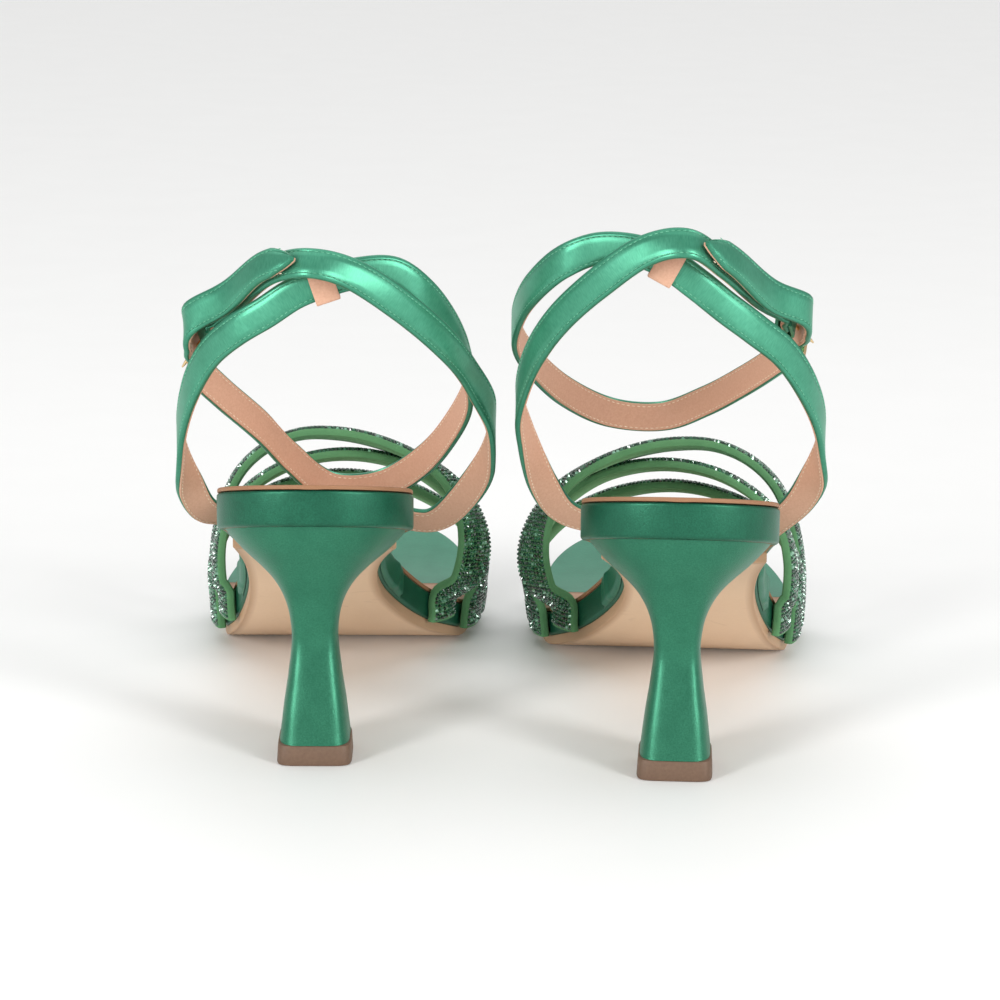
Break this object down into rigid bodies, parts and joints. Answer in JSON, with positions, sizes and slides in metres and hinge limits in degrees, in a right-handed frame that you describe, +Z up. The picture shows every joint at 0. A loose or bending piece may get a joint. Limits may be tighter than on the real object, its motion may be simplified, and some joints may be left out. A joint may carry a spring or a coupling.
{
  "type": "ankle-strap heeled sandals",
  "caption": "Pair of open-toe evening sandals: satin heel and platform, crystal straps over the toes, wrapped ankle strap with buckle.",
  "frame": {"origin": "on the floor, under the middle of the bounding box of the pair", "axes": "+Z up, +Y from the heels towards the toes, +X towards the right shoe"},
  "size_m": [0.1978, 0.2396, 0.1603],
  "materials": {
    "satin": "deep green satin",
    "strap_satin": "green satin, a little lighter, stitched along both edges",
    "tan_leather": "smooth tan leather, matt",
    "outsole": "smooth light tan sole leather",
    "suede": "sage green suede",
    "crystal": "rows of dark green faceted crystals",
    "top_piece": "brown rubber, satin",
    "gold": "polished pale gold",
    "steel": "plain steel, hidden inside",
    "fibreboard": "pressed fibre insole board, hidden inside",
    "foam": "foam and cork footbed filling, hidden inside",
    "heel_plastic": "moulded heel block, hidden inside"
  },
  "bodies": {
    "shoes": {"right_outsole": "outsole", "right_insole_board": "fibreboard", "right_shank": "steel", "right_footbed_padding": "foam", "right_rand_cover": "satin", "right_sock_lining": "tan_leather", "right_toe_sock": "satin", "right_heel_core": "heel_plastic", "right_heel_cover": "satin", "right_top_piece": "top_piece", "right_top_piece_dowel": "steel", "right_heel_screw": "steel", "right_heel_nail_inner": "steel", "right_heel_nail_outer": "steel", "right_waist_leaf_inner": "strap_satin", "right_waist_leaf_outer": "strap_satin", "right_wrap_strap": "strap_satin", "right_wrap_strap_lining": "tan_leather", "right_buckle_strap": "strap_satin", "right_buckle_strap_lining": "tan_leather", "right_back_keeper": "tan_leather", "right_buckle_tab": "strap_satin", "right_crystal_strap_1": "crystal", "right_crystal_strap_1_lining": "suede", "right_crystal_strap_2": "crystal", "right_crystal_strap_2_lining": "suede", "right_crystal_strap_3": "crystal", "right_crystal_strap_3_lining": "suede", "left_outsole": "outsole", "left_insole_board": "fibreboard", "left_shank": "steel", "left_footbed_padding": "foam", "left_rand_cover": "satin", "left_sock_lining": "tan_leather", "left_toe_sock": "satin", "left_heel_core": "heel_plastic", "left_heel_cover": "satin", "left_top_piece": "top_piece", "left_top_piece_dowel": "steel", "left_heel_screw": "steel", "left_heel_nail_inner": "steel", "left_heel_nail_outer": "steel", "left_waist_leaf_inner": "strap_satin", "left_waist_leaf_outer": "strap_satin", "left_wrap_strap": "strap_satin", "left_wrap_strap_lining": "tan_leather", "left_buckle_strap": "strap_satin", "left_buckle_strap_lining": "tan_leather", "left_back_keeper": "tan_leather", "left_buckle_tab": "strap_satin", "left_crystal_strap_1": "crystal", "left_crystal_strap_1_lining": "suede", "left_crystal_strap_2": "crystal", "left_crystal_strap_2_lining": "suede", "left_crystal_strap_3": "crystal", "left_crystal_strap_3_lining": "suede"},
    "right_buckle": {"right_buckle_frame": "gold"},
    "right_prong": {"right_buckle_prong": "gold"},
    "left_buckle": {"left_buckle_frame": "gold"},
    "left_prong": {"left_buckle_prong": "gold"}
  },
  "joints": [
    {"name": "right_buckle_hinge", "type": "hinge", "parent": "shoes", "child": "right_buckle", "pos_m": [0.07974, -0.08042, 0.12838], "axis": [-0.167, -0.568, -0.8059], "range_deg": [0, 12]},
    {"name": "right_prong_hinge", "type": "hinge", "parent": "right_buckle", "child": "right_prong", "pos_m": [0.07974, -0.08042, 0.12838], "axis": [-0.167, -0.568, -0.8059], "range_deg": [0, 25]},
    {"name": "left_buckle_hinge", "type": "hinge", "parent": "shoes", "child": "left_buckle", "pos_m": [-0.08713, -0.07271, 0.12146], "axis": [-0.2821, 0.7412, 0.6092], "range_deg": [0, 3]},
    {"name": "left_prong_hinge", "type": "hinge", "parent": "left_buckle", "child": "left_prong", "pos_m": [-0.08713, -0.07271, 0.12146], "axis": [-0.2821, 0.7412, 0.6092], "range_deg": [0, 25]}
  ]
}
